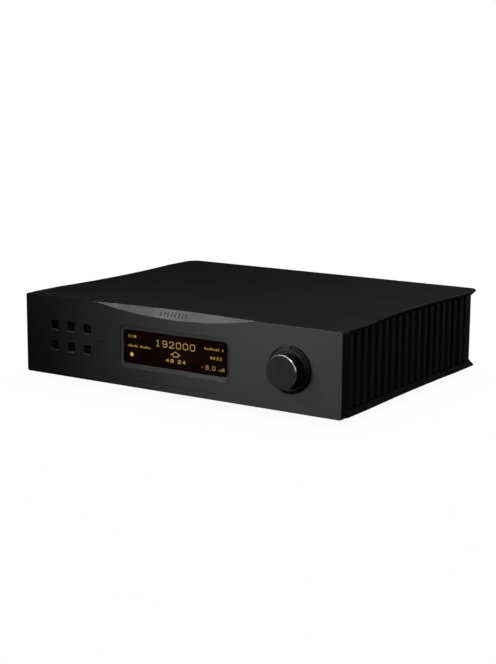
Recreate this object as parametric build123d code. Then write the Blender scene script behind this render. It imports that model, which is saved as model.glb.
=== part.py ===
from build123d import *
import math
import os

# Desktop audio unit: front panel with display, six buttons and a knob, finned heatsinks as side
# walls between two plates, a rear panel of sockets, and boards and toroidal transformers inside.
# Millimetres. X runs to the right seen from the front, Y from the front face (0) to the back,
# Z up from the underside of the bottom plate. Each piece is written with the foot pads
# standing on Z = 0 and the overall depth centred on Y = 0.

os.makedirs("parts", exist_ok=True)

# ---------------------------------------------------------------- case dimensions
WIDTH = 320.0
DEPTH = 255.0        # front face to the rear edge of the plates
HEIGHT = 70.0        # without the feet
FRONT_T = 10.0       # front panel thickness
PLATE_T = 4.5        # top cover and bottom plate thickness
INNER_Z0, INNER_Z1 = PLATE_T, HEIGHT - PLATE_T
FOOT_H = 8.0         # with its pad
WALL_IN = 136.0      # side wall's inner face
FIN_TIP = 153.5      # fins' outer face
SINK_END = 247.0     # rear end of the heatsinks
REAR = SINK_END + 3.0    # rear panel's outer face
JACK_END = 261.0     # rearmost point, the RCA jacks' ends
KNOB_OUT = 13.5      # knob face in front of the panel
BOARD_Z0, BOARD_TOP = 14.5, 16.1

# places shared by several pieces
BOLT_X = 143.5
CASE_BOLTS = [(s * BOLT_X, y) for s in (-1, 1) for y in (14.8, 232.6)]
CASE_BOLTS += [(s * 136.5, 124.0) for s in (-1, 1)]
REAR_SCREW_Z = (14.0, 34.5, 55.0)
FEET = [(x, y) for y in (52.0, 202.0) for x in (-118.0, 118.0)]
STANDOFFS = [  # x, y: four under each board
    (-128, 28), (46, 28), (-128, 98), (46, 98),
    (-128, 116), (-44, 116), (-128, 226), (-44, 226),
    (-28, 132), (46, 132), (-28, 226), (46, 226),
]
TOROID_X, TOROID_Y = 95.0, (66.0, 146.0)

# corner blocks: side (-1 left, 1 right) and height of centre; one screw runs along Y, one along X
BLOCKS = [(s, z) for s in (-1, 1) for z in (INNER_Z0 + 5.5, INNER_Z1 - 5.5)]
BLOCK_SCREW_X = 130.5    # screw along Y
BLOCK_SCREW_Y = 16.0     # screw along X
BLOCK_SCREW_DZ = 2.3     # Y screw below the centre, X screw above it

WINDOW_Z = 34.7
GLASS_W, GLASS_H = 105.6, 29.2
BUTTONS = [(x, z) for z in (44.5, 26.5) for x in (-127.4, -109.2, -91.4)]
IR_X, IR_Z = -75.5, 34.9
KNOB_X, KNOB_Z = 112.8, 34.9
BUTTON_BOARD_SCREWS = [(-118.3, 35.0), (-100.3, 35.0), (-80.0, 21.0), (-80.0, 48.0)]
DISPLAY_BOARD_SCREWS = [(x, z) for z in (12.4, 56.0) for x in (-63.9, 63.9)]
FRONT_BOARD_SCREWS = BUTTON_BOARD_SCREWS + DISPLAY_BOARD_SCREWS

TO_FINAL_FRAME = Pos(0, -(JACK_END - KNOB_OUT) / 2, FOOT_H)


# ---------------------------------------------------------------- helpers
def box(x0, x1, y0, y1, z0, z1):
    centre = Pos((x0 + x1) / 2, (y0 + y1) / 2, (z0 + z1) / 2)
    return centre * Box(abs(x1 - x0), abs(y1 - y0), abs(z1 - z0))


def box_y(x, z, width, height, y0, y1):
    """A box centred on (x, z), from y0 to y1."""
    return box(x - width / 2, x + width / 2, y0, y1, z - height / 2, z + height / 2)


def box_z(x, y, width, depth, z0, z1):
    """A box centred on (x, y), from z0 to z1."""
    return box(x - width / 2, x + width / 2, y - depth / 2, y + depth / 2, z0, z1)


def rod_x(y, z, x0, x1, radius):
    return Pos((x0 + x1) / 2, y, z) * Rot(0, 90, 0) * Cylinder(radius, abs(x1 - x0))


def rod_y(x, z, y0, y1, radius):
    return Pos(x, (y0 + y1) / 2, z) * Rot(90, 0, 0) * Cylinder(radius, abs(y1 - y0))


def rod_z(x, y, z0, z1, radius):
    return Pos(x, y, (z0 + z1) / 2) * Cylinder(radius, abs(z1 - z0))


def outline(points):
    return make_face(Polyline(*points, close=True))


def upright(x, y, z):
    """A plane facing the front, its own x along X and its own y along Z."""
    return Plane(origin=(x, y, z), x_dir=(1, 0, 0), z_dir=(0, -1, 0))


def prism_y(sketch, x, z, y0, y1):
    return extrude(upright(x, y0, z) * sketch, amount=-(y1 - y0))


def rounded_y(x, z, width, height, radius, y0, y1):
    return prism_y(RectangleRounded(width, height, radius), x, z, y0, y1)


def taper_y(x, z, start, end, y0, y1):
    """A tapering rounded rectangle; start and end are (width, height, corner radius)."""
    return loft([upright(x, y0, z) * RectangleRounded(*start),
                 upright(x, y1, z) * RectangleRounded(*end)])


def arc_radius(half_chord, rise):
    return (half_chord ** 2 + rise ** 2) / (2 * rise)


def screw(diameter, length, head_r, head_h, socket=None):
    """A socket screw: head's top at z=0, shank down to -(head_h + length)."""
    shank = rod_z(0, 0, -(head_h + length), -head_h, diameter / 2)
    body = rod_z(0, 0, -head_h, 0, head_r) + shank
    across_flats = socket or diameter * 0.8
    hexagon = RegularPolygon(across_flats / 2 / math.cos(math.pi / 6), 6)
    return body - extrude(Pos(0, 0, -head_h * 0.55) * hexagon, amount=head_h)


def head_down(shape, x, y, z):
    return Pos(x, y, z) * Rot(180, 0, 0) * shape


def head_back(shape, x, y, z):
    return Pos(x, y, z) * Rot(-90, 0, 0) * shape


def write(name, solids):
    solids = [TO_FINAL_FRAME * s for s in solids]
    export_step(solids[0] if len(solids) == 1 else Compound(solids), f"parts/{name}.step")


def save(name, shape):
    write(name, shape.solids())


def save_group(name, items):
    """Save several one-solid items as one piece."""
    write(name, [i if isinstance(i, Solid) else i.solids()[0] for i in items])


# ---------------------------------------------------------------- front panel
CRESCENT_HALF = 82.6     # half length of the crescent chamfer
CRESCENT_DROP = 7.8      # on the front face
CRESCENT_BACK = 4.8      # on the top face
POCKET = (111.0, 36.0, 5.0)      # recess round the window: width, height, corner radius
GLASS_HOLE = (GLASS_W, GLASS_H, 3.0)
POCKET_STEP = 0.5        # upright wall of the recess before its floor slopes inwards
POCKET_D = 1.5
BUTTON_HOLE = 7.0
BUTTON_BEVEL = 0.9


def crescent_cutter():
    """A large cylinder that cuts the sloping crescent off the top front edge."""
    slope = math.atan2(CRESCENT_BACK, CRESCENT_DROP)
    depth = CRESCENT_DROP * math.sin(slope)
    radius = arc_radius(CRESCENT_HALF, depth)
    outward = Vector(0, -math.cos(slope), math.sin(slope))
    along = Vector(0, math.sin(slope), math.cos(slope))     # along the slope, front to top
    centre = Vector(0, 0, HEIGHT) + outward * (radius - depth)
    plane = Plane(origin=tuple(centre - along * 40), x_dir=(1, 0, 0), z_dir=tuple(along))
    return plane * Pos(0, 0, 40) * Cylinder(radius, 80)


def front_panel():
    back = FRONT_T + 1       # cuts run past the back face
    panel = box(-WIDTH / 2, WIDTH / 2, 0, FRONT_T, 0, HEIGHT)
    panel = fillet(panel.edges().filter_by(Axis.Y), 2.0)
    panel = fillet([e for e in panel.edges() if abs(e.center().Y) < 1e-4], 0.6)
    panel -= crescent_cutter()

    # window: front recess, aperture and a deep rebate behind
    panel -= rounded_y(0, WINDOW_Z, *POCKET, -1, POCKET_STEP)
    panel -= taper_y(0, WINDOW_Z, POCKET, GLASS_HOLE, POCKET_STEP, POCKET_D)
    panel -= rounded_y(0, WINDOW_Z, *GLASS_HOLE, 0, 5)
    panel -= rounded_y(0, WINDOW_Z, 120.0, 39.0, 2.5, 2.8, back)

    # bevelled button holes with a pocket behind each
    hole = (BUTTON_HOLE, BUTTON_HOLE, 0.8)
    mouth = tuple(size + BUTTON_BEVEL * 2 for size in hole[:2]) + (0.8 + BUTTON_BEVEL,)
    for x, z in BUTTONS:
        panel -= rounded_y(x, z, *hole, -1, 5)
        panel -= taper_y(x, z, mouth, hole, -0.02, 0.88)
        panel -= rounded_y(x, z, 9.4, 9.4, 0.6, 4.0, back)
    panel -= rod_y(IR_X, IR_Z, -1, back, 1.0)
    panel -= rod_y(IR_X, IR_Z, 6.0, back, 2.7)

    # encoder: bushing hole, recess for the nut, pocket behind for the body
    panel -= rod_y(KNOB_X, KNOB_Z, -1, back, 3.6)
    panel -= rod_y(KNOB_X, KNOB_Z, -1, 1.8, 8.5)
    panel -= rounded_y(KNOB_X, KNOB_Z, 14.0, 14.0, 1.5, 4.0, back)

    # blind screw holes in the back
    for x, z in FRONT_BOARD_SCREWS:
        panel -= rod_y(x, z, 5.2, back, 1.3)
    for s, z in BLOCKS:
        panel -= rod_y(s * BLOCK_SCREW_X, z - BLOCK_SCREW_DZ, 4.5, back, 1.6)
    return panel


save("front_panel", front_panel())

# ---------------------------------------------------------------- top and bottom plates
WAIST_Y0, WAIST_Y1 = 45.0, 212.0     # stretch of side edge drawn in as a shallow arc
WAIST_TOP = 5.2          # how far the top cover is drawn in
WAIST_BOTTOM = 1.4
REAR_CORNER_R = 11.0
UNDERCUT = 3.4           # chamfer on the inner edges, towards the fins


def plate(inner_z, outer_z, waist):
    body = box(-WIDTH / 2, WIDTH / 2, FRONT_T, DEPTH, inner_z, outer_z)
    body = fillet(body.edges().filter_by(Axis.Z).group_by(Axis.Y)[-1], REAR_CORNER_R)
    radius = arc_radius((WAIST_Y1 - WAIST_Y0) / 2, waist)
    for s in (-1, 1):
        x = s * (WIDTH / 2 - waist + radius)
        body -= rod_z(x, (WAIST_Y0 + WAIST_Y1) / 2, -1, HEIGHT + 1, radius)

    def rim(z):
        """Side and rear edges at height z."""
        return [e for e in body.edges()
                if abs(e.center().Z - z) < 1e-4 and e.center().Y > FRONT_T + 0.5]

    body = fillet(rim(outer_z), 0.6)
    return chamfer(rim(inner_z), UNDERCUT)


top_cover = plate(INNER_Z1, HEIGHT, WAIST_TOP)
for x, y in CASE_BOLTS:
    top_cover -= rod_z(x, y, INNER_Z1 - 1, INNER_Z1 + 3.2, 2.0)
save("top_cover", top_cover)

bottom = plate(PLATE_T, 0, WAIST_BOTTOM)
for x, y in CASE_BOLTS:
    bottom -= rod_z(x, y, -1, PLATE_T + 1, 2.2)
    bottom -= rod_z(x, y, -1, 2.6, 4.0)
plain_holes = [(x, y, 2.1) for x, y in FEET]
plain_holes += [(x, y, 1.6) for x, y in STANDOFFS]
plain_holes += [(TOROID_X, y, 3.1) for y in TOROID_Y]
for x, y, radius in plain_holes:
    bottom -= rod_z(x, y, -1, PLATE_T + 1, radius)
save("bottom_plate", bottom)

# ---------------------------------------------------------------- heatsinks
FIN_ROOT = 141.0
FIN_PITCH = 12.0
FIN_W = 6.0
FIN_FIRST = 26.0         # Y of the first fin's middle
FIN_COUNT = 17


def heatsink(s):
    """The side wall on side s, as a plan outline raised between the plates."""
    points = [(WALL_IN, FRONT_T), (FIN_TIP, FRONT_T), (FIN_TIP, 19.5), (FIN_ROOT, 19.5)]
    for i in range(FIN_COUNT):
        y = FIN_FIRST + FIN_PITCH * i
        y0, y1 = y - FIN_W / 2, y + FIN_W / 2
        points += [(FIN_ROOT, y0), (FIN_TIP, y0), (FIN_TIP, y1), (FIN_ROOT, y1)]
    points += [
        (FIN_ROOT, 228.0), (FIN_TIP, 228.0), (FIN_TIP, 234.6), (147.0, 234.6),
        (147.0, 239.0), (FIN_TIP, 239.0), (FIN_TIP, SINK_END), (WALL_IN, SINK_END),
        # thicker pad on the inside for the middle case bolt
        (WALL_IN, 130.0), (131.6, 130.0), (131.6, 118.0), (WALL_IN, 118.0),
    ]
    plan = outline([(s * x, y) for x, y in points])
    tips = [v for v in plan.vertices() if abs(v.X) > FIN_TIP - 0.1 and v.Y > FRONT_T + 1]
    plan = fillet(tips, 0.9)
    wall = extrude(Pos(0, 0, INNER_Z0) * plan, amount=INNER_Z1 - INNER_Z0)
    # a filleted face may point down, and the wall then grows downwards from the plate
    if wall.bounding_box().min.Z < INNER_Z0 - 1:
        wall = Pos(0, 0, INNER_Z1 - INNER_Z0) * wall
    for x, y in CASE_BOLTS:
        if x * s > 0:
            wall -= rod_z(x, y, INNER_Z0 - 1, INNER_Z1 + 1, 2.15)
    for z in REAR_SCREW_Z:
        wall -= rod_y(s * BOLT_X, z, 239.5, SINK_END + 1, 1.6)
    for block_side, z in BLOCKS:
        if block_side == s:
            wall -= rod_x(BLOCK_SCREW_Y, z + BLOCK_SCREW_DZ,
                          s * (WALL_IN - 1), s * (WALL_IN + 4.2), 1.6)
    return wall


save("heatsink_left", heatsink(-1))
save("heatsink_right", heatsink(1))


# corner blocks tie the front panel to the side walls
def corner_block(s, z):
    block = box(s * 125.0, s * (WALL_IN - 0.02), FRONT_T + 0.02, 22.0, z - 5.4, z + 5.4)
    block -= rod_y(s * BLOCK_SCREW_X, z - BLOCK_SCREW_DZ, FRONT_T - 1, 30, 1.65)
    return block - rod_x(BLOCK_SCREW_Y, z + BLOCK_SCREW_DZ, s * 120.0, s * (WALL_IN + 1), 1.65)


save_group("corner_blocks", [corner_block(s, z) for s, z in BLOCKS])

# ---------------------------------------------------------------- rear panel
XLR_X, XLR_Z = (-114.0, -58.0), 37.0
XLR_SCREWS = ((-9.5, 12.0), (9.5, -12.0))    # offsets from the socket's centre
RCA = [(-86.0, 49.0), (-86.0, 26.0), (-32.0, 26.0)]
USB_X, I2S_X, TOSLINK_X = 34.0, 12.0, -10.0
INLET_X, INLET_Z = 108.0, 35.0
INLET_SCREW_X = [INLET_X + s * 20 for s in (-1, 1)]
SWITCH_X, SWITCH_Z = 70.0, 35.0
VENT_X, VENT_PITCH, VENT_COUNT = -30.0, 14, 6
THROUGH = (SINK_END - 1, REAR + 1)   # Y span of cuts through the panel

rear = box(-FIN_TIP, FIN_TIP, SINK_END, REAR, INNER_Z0 + 0.05, INNER_Z1 - 0.05)
REAR_SCREWS = [(s * BOLT_X, z) for s in (-1, 1) for z in REAR_SCREW_Z]
for x, z in REAR_SCREWS:
    rear -= rod_y(x, z, *THROUGH, 1.7)
for x in XLR_X:
    rear -= rod_y(x, XLR_Z, *THROUGH, 12.0)
    for dx, dz in XLR_SCREWS:
        rear -= rod_y(x + dx, XLR_Z + dz, *THROUGH, 1.6)
for x, z in RCA:
    rear -= rod_y(x, z, *THROUGH, 4.8)
# board-mounted sockets: x, half width, height
for x, half, height in ((USB_X, 6.3, 11.4), (I2S_X, 7.8, 6.8), (TOSLINK_X, 5.1, 10.4)):
    rear -= box(x - half, x + half, *THROUGH, BOARD_TOP, BOARD_TOP + height)
rear -= box_y(INLET_X, INLET_Z, 27.4, 32.0, *THROUGH)
for x in INLET_SCREW_X:
    rear -= rod_y(x, INLET_Z, *THROUGH, 1.6)
rear -= box_y(SWITCH_X, SWITCH_Z, 13.4, 19.4, *THROUGH)
for i in range(VENT_COUNT):
    rear -= rounded_y(VENT_X + VENT_PITCH * i, 55.0, 9.0, 2.6, 1.29, *THROUGH)
save("rear_panel", rear)

# ---------------------------------------------------------------- XLR and RCA sockets
XLR_PIN_CIRCLE_R = 4.6
connector_screw = screw(2.9, 6.0, 2.8, 1.6, socket=1.8)
connector_screws, shells, inserts, pins = [], [], [], []
for x in XLR_X:
    shell = rounded_y(x, XLR_Z, 26.0, 31.0, 3.0, REAR, REAR + 2.0)
    shell += rod_y(x, XLR_Z, REAR - 20, REAR + 2.0, 11.8)
    shell -= rod_y(x, XLR_Z, REAR - 16, REAR + 3.0, 9.5)
    shell -= rod_y(x, XLR_Z, REAR - 21, REAR, 8.4)
    for dx, dz in XLR_SCREWS:
        shell -= rod_y(x + dx, XLR_Z + dz, REAR - 1, REAR + 3, 1.6)
        connector_screws.append(head_back(connector_screw, x + dx, REAR + 3.6, XLR_Z + dz))
    shells.append(shell)
    insert = rod_y(x, XLR_Z, REAR - 19.5, REAR - 16.0, 8.35)
    for angle in (90, 210, 330):
        pin_x = x + XLR_PIN_CIRCLE_R * math.cos(math.radians(angle))
        pin_z = XLR_Z + XLR_PIN_CIRCLE_R * math.sin(math.radians(angle))
        insert -= rod_y(pin_x, pin_z, REAR - 21, REAR - 14, 1.25)
        pin = rod_y(pin_x, pin_z, REAR - 24.0, REAR - 3.2, 1.2)
        pins.append(pin + Pos(pin_x, REAR - 3.2, pin_z) * Sphere(1.2))
    inserts.append(insert)
save_group("xlr_shells", shells)
save_group("xlr_inserts", inserts)
save_group("xlr_pins", pins)

jacks, centres = [], []
for x, z in RCA:
    jack = rod_y(x, z, SINK_END - 9, REAR, 4.7) + rod_y(x, z, REAR, REAR + 2.0, 6.6)
    jack += rod_y(x, z, REAR + 2.0, JACK_END, 4.15)
    jacks.append(jack - rod_y(x, z, SINK_END - 10, JACK_END + 1, 3.2))
    centre = rod_y(x, z, SINK_END - 12, JACK_END - 0.8, 3.15)
    centres.append(centre - rod_y(x, z, JACK_END - 9.8, JACK_END, 1.65))
save_group("rca_jacks", jacks)
save_group("rca_centres", centres)


# ---------------------------------------------------------------- digital sockets
def on_board(x, half_width, y0, y1, z0, z1):
    """A box centred on x, its heights counted from the top of the boards."""
    return box(x - half_width, x + half_width, y0, y1, BOARD_TOP + z0, BOARD_TOP + z1)


usb = on_board(USB_X, 6.0, 234.0, REAR + 0.6, 0, 11.0)
usb -= on_board(USB_X, 4.3, 241.0, REAR + 1, 1.6, 9.4)
usb += on_board(USB_X, 2.8, 240.5, REAR - 1.0, 4.1, 7.3)
save("usb_socket", usb)

# x from the socket's middle, height above the board
I2S_MOUTH = [(-7.0, 5.5), (7.0, 5.5), (7.0, 2.6), (5.2, 0.9), (-5.2, 0.9), (-7.0, 2.6)]
i2s = on_board(I2S_X, 7.5, 238.0, REAR + 0.6, 0, 6.4)
i2s -= prism_y(outline(I2S_MOUTH), I2S_X, BOARD_TOP, 241.0, REAR + 1)
i2s += on_board(I2S_X, 5.6, 240.5, REAR - 0.6, 3.2, 4.4)
save("i2s_socket", i2s)

# optical socket: square mouth closed by a flap hinged at its top
HINGE_UP = 8.0           # hinge above the board
HINGE_Y, HINGE_Z = REAR - 1.2, BOARD_TOP + HINGE_UP
toslink = on_board(TOSLINK_X, 4.85, 236.0, REAR + 0.6, 0, 10.1)
toslink -= on_board(TOSLINK_X, 3.9, 239.5, REAR + 1, 1.0, 9.1)
toslink -= rod_x(HINGE_Y, HINGE_Z, TOSLINK_X - 4.4, TOSLINK_X + 4.4, 0.65)
save("toslink_socket", toslink)
flap = on_board(TOSLINK_X, 3.7, HINGE_Y - 0.4, HINGE_Y + 0.4, 1.25, HINGE_UP)
flap += rod_x(HINGE_Y, HINGE_Z, TOSLINK_X - 4.3, TOSLINK_X + 4.3, 0.6)
save("toslink_shutter", flap)

# ---------------------------------------------------------------- mains inlet and fuse drawer
SOCKET_Z = INLET_Z - 5.2
DRAWER_Z = INLET_Z + 9.6
# x and z from the socket's centre
INLET_MOUTH = [(-12.1, -8.1), (12.1, -8.1), (12.1, 3.6), (7.6, 8.1), (-7.6, 8.1), (-12.1, 3.6)]
INLET_PINS = ((-7.0, -2.0), (7.0, -2.0), (0.0, 2.0))

inlet = rounded_y(INLET_X, INLET_Z, 50.0, 34.0, 4.0, REAR, REAR + 2.4)
inlet += box_y(INLET_X, INLET_Z, 27.0, 31.6, 223.0, REAR + 1)
inlet -= prism_y(outline(INLET_MOUTH), INLET_X, SOCKET_Z, REAR - 16.0, REAR + 3)
inlet -= box_y(INLET_X, DRAWER_Z, 22.2, 8.2, REAR - 24.0, REAR + 3)
inlet_pins = []
for dx, dz in INLET_PINS:
    inlet -= box_y(INLET_X + dx, SOCKET_Z + dz, 2.1, 4.1, 222.0, REAR - 15)
    inlet_pins.append(box_y(INLET_X + dx, SOCKET_Z + dz, 2.0, 4.0, 216.0, REAR - 2.5))
for x in INLET_SCREW_X:
    inlet -= rod_y(x, INLET_Z, REAR - 1, REAR + 4, 1.6)
    connector_screws.append(head_back(connector_screw, x, REAR + 4.0, INLET_Z))
save("iec_inlet", inlet)
save_group("iec_pins", inlet_pins)
save_group("connector_screws", connector_screws)

drawer = box_y(INLET_X, DRAWER_Z, 21.8, 7.8, REAR - 22.0, REAR + 2.0)
drawer += box_y(INLET_X, DRAWER_Z, 21.8, 7.8, REAR + 2.0, REAR + 3.0)
# notch in the lower edge of the drawer's face
drawer -= box(INLET_X - 3.0, INLET_X + 3.0, REAR + 1.6, REAR + 4, DRAWER_Z - 5, DRAWER_Z - 2.4)
fuses = []
for s in (-1, 1):
    x = INLET_X + s * 5.3
    drawer -= box(x - 3.0, x + 3.0, REAR - 21.2, REAR - 0.4, DRAWER_Z - 2.9, DRAWER_Z + 5)
    fuse = rod_y(x, DRAWER_Z, REAR - 20.8, REAR - 0.8, 2.2)
    for cap_y in (REAR - 20.8, REAR - 5.8):
        fuse += rod_y(x, DRAWER_Z, cap_y, cap_y + 5, 2.6)
    fuses.append(fuse)
save("fuse_drawer", drawer)
save_group("fuses", fuses)

# ---------------------------------------------------------------- power switch
ROCKER_Y = REAR - 4.0    # the rocker turns about an axis along X
ROCKER_TILT = 9.0
ROCKER_W = 10.4
TERMINAL_DZ = 5.0
# z and y from the pivot
ROCKER_PROFILE = [(0, 4.6), (-7.5, 5.8), (-7.5, 3.6), (-2.2, -1.9),
                  (2.2, -1.9), (7.5, 3.6), (7.5, 5.8)]

housing = rounded_y(SWITCH_X, SWITCH_Z, 15.0, 21.0, 1.2, REAR, REAR + 1.6)
housing += box_y(SWITCH_X, SWITCH_Z, 13.0, 19.0, 236.0, REAR + 0.5)
housing -= box_y(SWITCH_X, SWITCH_Z, 11.0, 17.2, REAR - 10.0, REAR + 3)
housing -= rod_x(ROCKER_Y, SWITCH_Z, SWITCH_X - 6.1, SWITCH_X + 6.1, 1.05)
for dz in (-TERMINAL_DZ, TERMINAL_DZ):
    housing += box_y(SWITCH_X, SWITCH_Z + dz, 4.8, 0.8, 228.0, 236.2)
save("switch_housing", housing)

rocker_plane = Plane(origin=(SWITCH_X - ROCKER_W / 2, 0, 0), x_dir=(0, 0, 1), z_dir=(1, 0, 0))
rocker = extrude(rocker_plane * outline(ROCKER_PROFILE), amount=ROCKER_W)
rocker = mirror(rocker, about=Plane.XZ)  # the plane's own y runs along -Y
rocker += rod_x(0, 0, SWITCH_X - 6.0, SWITCH_X + 6.0, 1.0)
save("power_rocker", Pos(0, ROCKER_Y, SWITCH_Z) * Rot(-ROCKER_TILT, 0, 0) * rocker)

# ---------------------------------------------------------------- feet
FOOT_R = 20.0
PAD_TOP = -FOOT_H + 3.0
foot_screw = screw(4.0, 7.0, 4.0, 2.2)
feet, pads = [], []
for x, y in FEET:
    foot = rod_z(x, y, -FOOT_H + 1.0, 0, FOOT_R)
    foot = fillet(foot.edges().filter_by(GeomType.CIRCLE).group_by(Axis.Z)[0], 1.2)
    foot -= rod_z(x, y, -FOOT_H, PAD_TOP, 15.5)
    foot -= rod_z(x, y, -FOOT_H, -1.6, 4.4)
    feet.append(foot - rod_z(x, y, -FOOT_H, 1, 2.1))
    pads.append(rod_z(x, y, -FOOT_H, PAD_TOP, 15.3) - rod_z(x, y, -FOOT_H - 1, 0, 7.0))
save_group("feet", feet)
save_group("foot_pads", pads)
save_group("foot_screws", [head_down(foot_screw, x, y, -3.85) for x, y in FEET])

# ---------------------------------------------------------------- case fasteners
BOLT_HEAD_Z, BOLT_HEAD_H = 0.25, 2.3
BOLT_END = INNER_Z1 + 2.8
case_bolt = screw(4.0, BOLT_END - (BOLT_HEAD_Z + BOLT_HEAD_H), 3.8, BOLT_HEAD_H)
save_group("case_bolts", [head_down(case_bolt, x, y, BOLT_HEAD_Z) for x, y in CASE_BOLTS])

rear_screw = screw(3.0, 6.5, 2.8, 1.7)
block_screw_y = screw(3.0, 15.5, 2.6, 1.7)
block_screw_x = screw(3.0, 14.5, 2.6, 1.7)
panel_screws = [head_back(rear_screw, x, REAR + 1.72, z) for x, z in REAR_SCREWS]
panel_screws += [head_back(block_screw_y, s * BLOCK_SCREW_X, 23.72, z - BLOCK_SCREW_DZ)
                 for s, z in BLOCKS]
# heads towards the middle of the case
panel_screws += [Pos(s * 123.28, BLOCK_SCREW_Y, z + BLOCK_SCREW_DZ) * Rot(0, -90 * s, 0)
                 * block_screw_x for s, z in BLOCKS]
save_group("panel_screws", panel_screws)

# ---------------------------------------------------------------- display
FRONT_BOARD_Y = (FRONT_T + 0.02, 11.6)   # both boards behind the front panel

window = rounded_y(0, WINDOW_Z, GLASS_W - 0.3, GLASS_H - 0.3, 2.85, 2.0, 2.9)
window += rounded_y(0, WINDOW_Z, 116.0, 36.0, 1.5, 2.85, 4.8)
save("display_window", window)
save("display_module", box_y(0, WINDOW_Z, 114, 34, 4.9, 9.95))
display_board = box(-66.8, 66.8, *FRONT_BOARD_Y, 8.5, 60.0)
for x, z in DISPLAY_BOARD_SCREWS:
    display_board -= rod_y(x, z, 9, 13, 1.45)
for i in range(4):       # low blocks on the back
    display_board += box_y(-35 + 18 * i, 25, 10, 10, 11.5, 13.2)
save("display_board", display_board)

# ---------------------------------------------------------------- buttons
CAP = 6.3
CAP_FRONT = 1.5          # caps lie this far behind the front face
switches = []
for number, (x, z) in enumerate(BUTTONS, 1):
    cap = rounded_y(x, z, CAP, CAP, 0.7, CAP_FRONT, 4.4)
    cap = fillet(cap.edges().group_by(Axis.Y)[0], 0.35)
    cap += rounded_y(x, z, 8.4, 8.4, 0.5, 4.2, 5.2)
    save(f"button_cap_{number}", cap)
    body = box_y(x, z, 6.0, 6.0, 6.8, FRONT_T - 0.02)
    switches.append(body + rod_y(x, z, 5.9, 7.0, 1.7))
save_group("button_switches", switches)
button_board = box(-134.8, -68.0, *FRONT_BOARD_Y, 16.5, 52.5)
for x, z in BUTTON_BOARD_SCREWS:
    button_board -= rod_y(x, z, 9, 13, 1.45)
save("button_board", button_board)
save("ir_lens", rod_y(IR_X, IR_Z, 0.3, 6.5, 0.95) + rod_y(IR_X, IR_Z, 6.3, 9.9, 2.5))

# ---------------------------------------------------------------- encoder
SHAFT_R = 3.0
encoder = box_y(KNOB_X, KNOB_Z, 12.6, 12.6, 4.05, 11.0)
encoder += rod_y(KNOB_X, KNOB_Z, -1.0, 4.5, 3.5)
encoder -= rod_y(KNOB_X, KNOB_Z, -2.0, 6.0, SHAFT_R + 0.05)
encoder -= rod_y(KNOB_X, KNOB_Z, 5.4, 8.0, 4.8)
for dx in (-2.5, 0, 2.5):    # terminals
    encoder += box_y(KNOB_X + dx, KNOB_Z - 5.4, 0.8, 0.4, 10.9, 14.0)
save("encoder_body", encoder)
nut = prism_y(RegularPolygon(5.8, 6), KNOB_X, KNOB_Z, -0.2, 1.78)
save("encoder_nut", nut - rod_y(KNOB_X, KNOB_Z, -2, 3, 3.55))
shaft = rod_y(KNOB_X, KNOB_Z, -11.3, 6.2, SHAFT_R) + rod_y(KNOB_X, KNOB_Z, 5.6, 7.8, 4.6)
shaft -= box(KNOB_X - 4, KNOB_X + 4, -12, -3.0, KNOB_Z - 4, KNOB_Z - 2.4)
save("encoder_shaft", shaft)

# ---------------------------------------------------------------- knob
KNOB_R = 14.0
SKIRT_R = 19.5
GRUB_Y = -8.2            # axis of the set screw, which runs along Z
# profiles: radius, distance in front of the panel
KNOB_PROFILE = [
    (0, 11.6), (3.03, 11.6), (3.03, 5.2), (10.0, 5.2), (10.0, 0.9), (12.0, 0.9), (12.0, 4.0),
    (KNOB_R, 4.0), (KNOB_R, KNOB_OUT - 0.7), (KNOB_R - 0.7, KNOB_OUT), (0, KNOB_OUT),
]
SKIRT_PROFILE = [(12.05, 0.9), (SKIRT_R, 0.9), (SKIRT_R, 1.5), (16.9, 3.6), (16.5, 3.9),
                 (12.05, 3.9)]
# what lies below the floor of the engraved marks
MARK_FLOOR = [(12.05, 0.9), (SKIRT_R, 0.9), (SKIRT_R, 1.15), (16.9, 3.25), (12.05, 3.25)]


def turned(profile):
    """A profile turned about the knob's axis."""
    solid = revolve(outline(profile), axis=Axis.Y, revolution_arc=360)
    return Pos(KNOB_X, 0, KNOB_Z) * (Rot(180, 0, 0) * solid)


knob = turned(KNOB_PROFILE)
knob -= rod_z(KNOB_X, GRUB_Y, KNOB_Z - KNOB_R - 1, KNOB_Z - 1, 1.5)
save("knob_body", knob)
skirt = turned(SKIRT_PROFILE)
below_marks = turned(MARK_FLOOR)
for k in range(8):
    mark = Rot(0, -37.0 + 45.0 * k, 0) * box(-0.3, 0.3, -4.6, -1.0, 17.2, 19.2)
    skirt -= (Pos(KNOB_X, 0, KNOB_Z) * mark) - below_marks
save("knob_skirt", skirt)
grub = rod_z(KNOB_X, GRUB_Y, KNOB_Z - KNOB_R + 0.6, KNOB_Z - 2.5, 1.45)
grub_socket = Pos(KNOB_X, GRUB_Y, KNOB_Z - KNOB_R + 0.5) * RegularPolygon(0.85, 6)
save("knob_set_screw", grub - extrude(grub_socket, amount=2.0))

# ---------------------------------------------------------------- boards
BOARDS = {  # x0, x1, y0, y1
    "power_board": (-133, 50, 24, 103),
    "main_board": (-131.2, -39, 111, 231),
    "digital_board": (-35, 50, 127, 246),
}
for name, (x0, x1, y0, y1) in BOARDS.items():
    board = box(x0, x1, y0, y1, BOARD_Z0 + 0.02, BOARD_TOP - 0.02)
    for x, y in STANDOFFS:
        if x0 < x < x1 and y0 < y < y1:
            board -= rod_z(x, y, BOARD_Z0 - 1, BOARD_TOP + 1, 1.6)
    save(name, board)
save_group("board_standoffs", [
    rod_z(x, y, INNER_Z0 + 0.02, BOARD_Z0, 3.0) - rod_z(x, y, 0, 20, 1.35)
    for x, y in STANDOFFS])

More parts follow.
